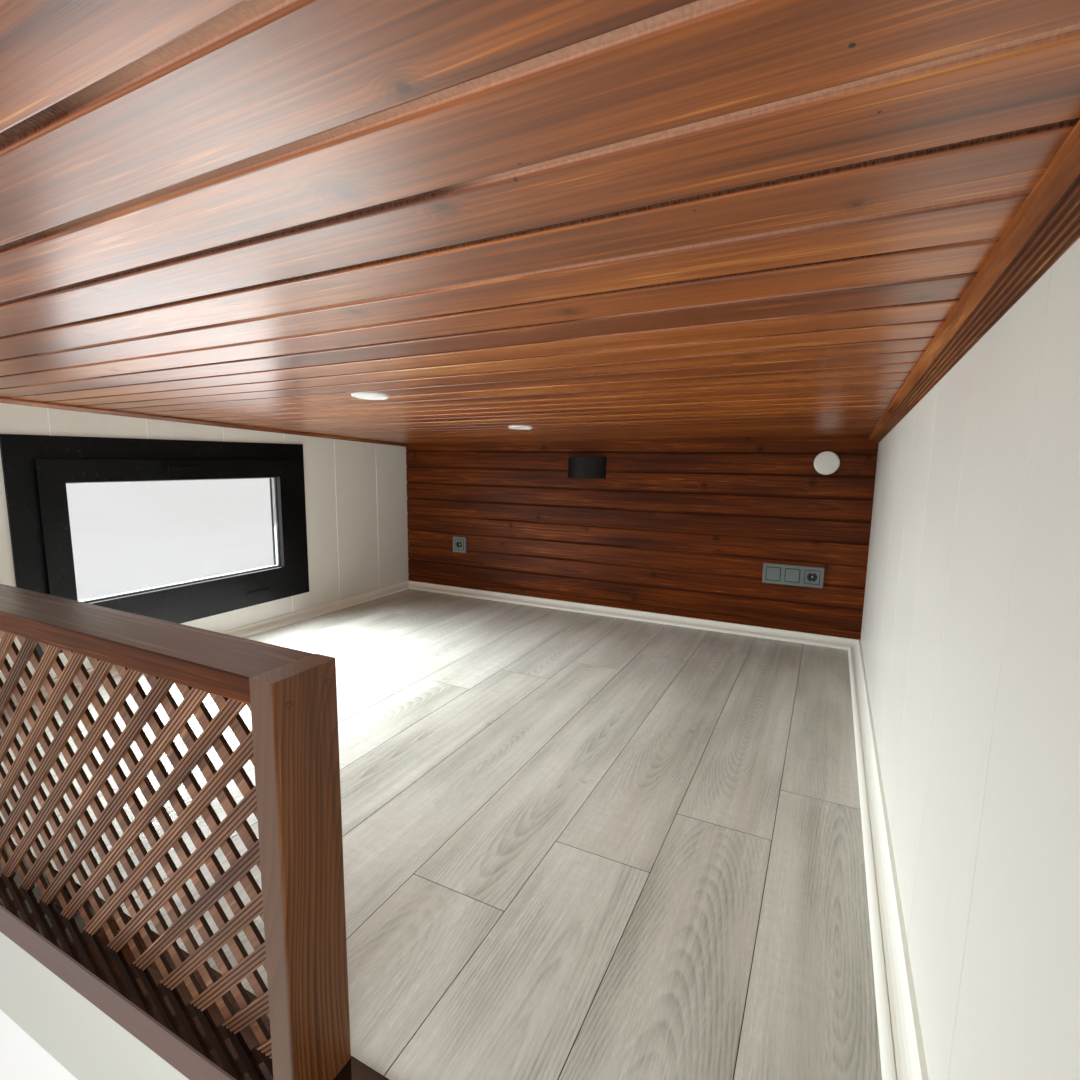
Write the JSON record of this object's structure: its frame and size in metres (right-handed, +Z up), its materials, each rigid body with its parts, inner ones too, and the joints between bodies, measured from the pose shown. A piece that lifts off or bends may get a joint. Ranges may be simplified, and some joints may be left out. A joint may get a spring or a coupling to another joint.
{
  "type": "tiny house sleeping loft",
  "caption": "Sleeping loft bay of a tiny house: plank floor, panelled walls, stained board ceiling and end wall, side window and lattice balustrade under a low sloped roof.",
  "frame": {"origin": "centre of the bay's underside", "axes": "+Z up, +Y towards the end wall, +X to the right when looking into the loft from its open front"},
  "size_m": [2.55, 2.741, 1.3494],
  "materials": {
    "stained_pine": "satin varnish",
    "ceiling_pine": "satin varnish",
    "white_panel": "matt foil",
    "grey_planks": "satin",
    "raw_timber": "sawn",
    "anthracite_metal": "satin",
    "anthracite_frame": "satin",
    "clear_glass": "clear",
    "grey_fitting": "satin",
    "white_fitting": "satin",
    "black_lamp": "matt"
  },
  "bodies": {
    "root": {"underside_lining": "white_panel", "floor_joists": "raw_timber", "deck_board": "raw_timber", "plank_floor": "grey_planks", "front_fascia": "white_panel", "edge_board": "stained_pine", "edge_batten": "stained_pine", "left_wall_core": "raw_timber", "right_wall_core": "raw_timber", "end_wall_core": "raw_timber", "left_wall_panel": "white_panel", "right_wall_panel": "white_panel", "end_wall_boards": "stained_pine", "ceiling_boards": "ceiling_pine", "left_cladding": "stained_pine", "right_cladding": "stained_pine", "end_cladding": "stained_pine", "left_corner_trim": "anthracite_metal", "right_corner_trim": "anthracite_metal", "left_front_jamb": "anthracite_metal", "right_front_jamb": "anthracite_metal", "roof_core": "raw_timber", "roof_sheet": "anthracite_metal", "roof_front_fascia": "anthracite_metal", "roof_rear_fascia": "anthracite_metal", "roof_verges": "anthracite_metal", "window_frame": "anthracite_frame", "window_sash": "anthracite_frame", "window_glass": "clear_glass", "window_handle": "anthracite_frame", "window_reveal": "anthracite_metal", "left_skirting": "white_panel", "end_skirting": "white_panel", "right_skirting": "white_panel", "left_cornice": "stained_pine", "right_cornice": "stained_pine", "top_rail": "stained_pine", "end_post": "stained_pine", "wall_post": "stained_pine", "lattice": "stained_pine", "ceiling_spots": "white_fitting", "wall_lamp": "black_lamp", "vent_disc": "white_fitting", "single_socket": "grey_fitting", "triple_socket": "grey_fitting"}
  },
  "joints": []
}
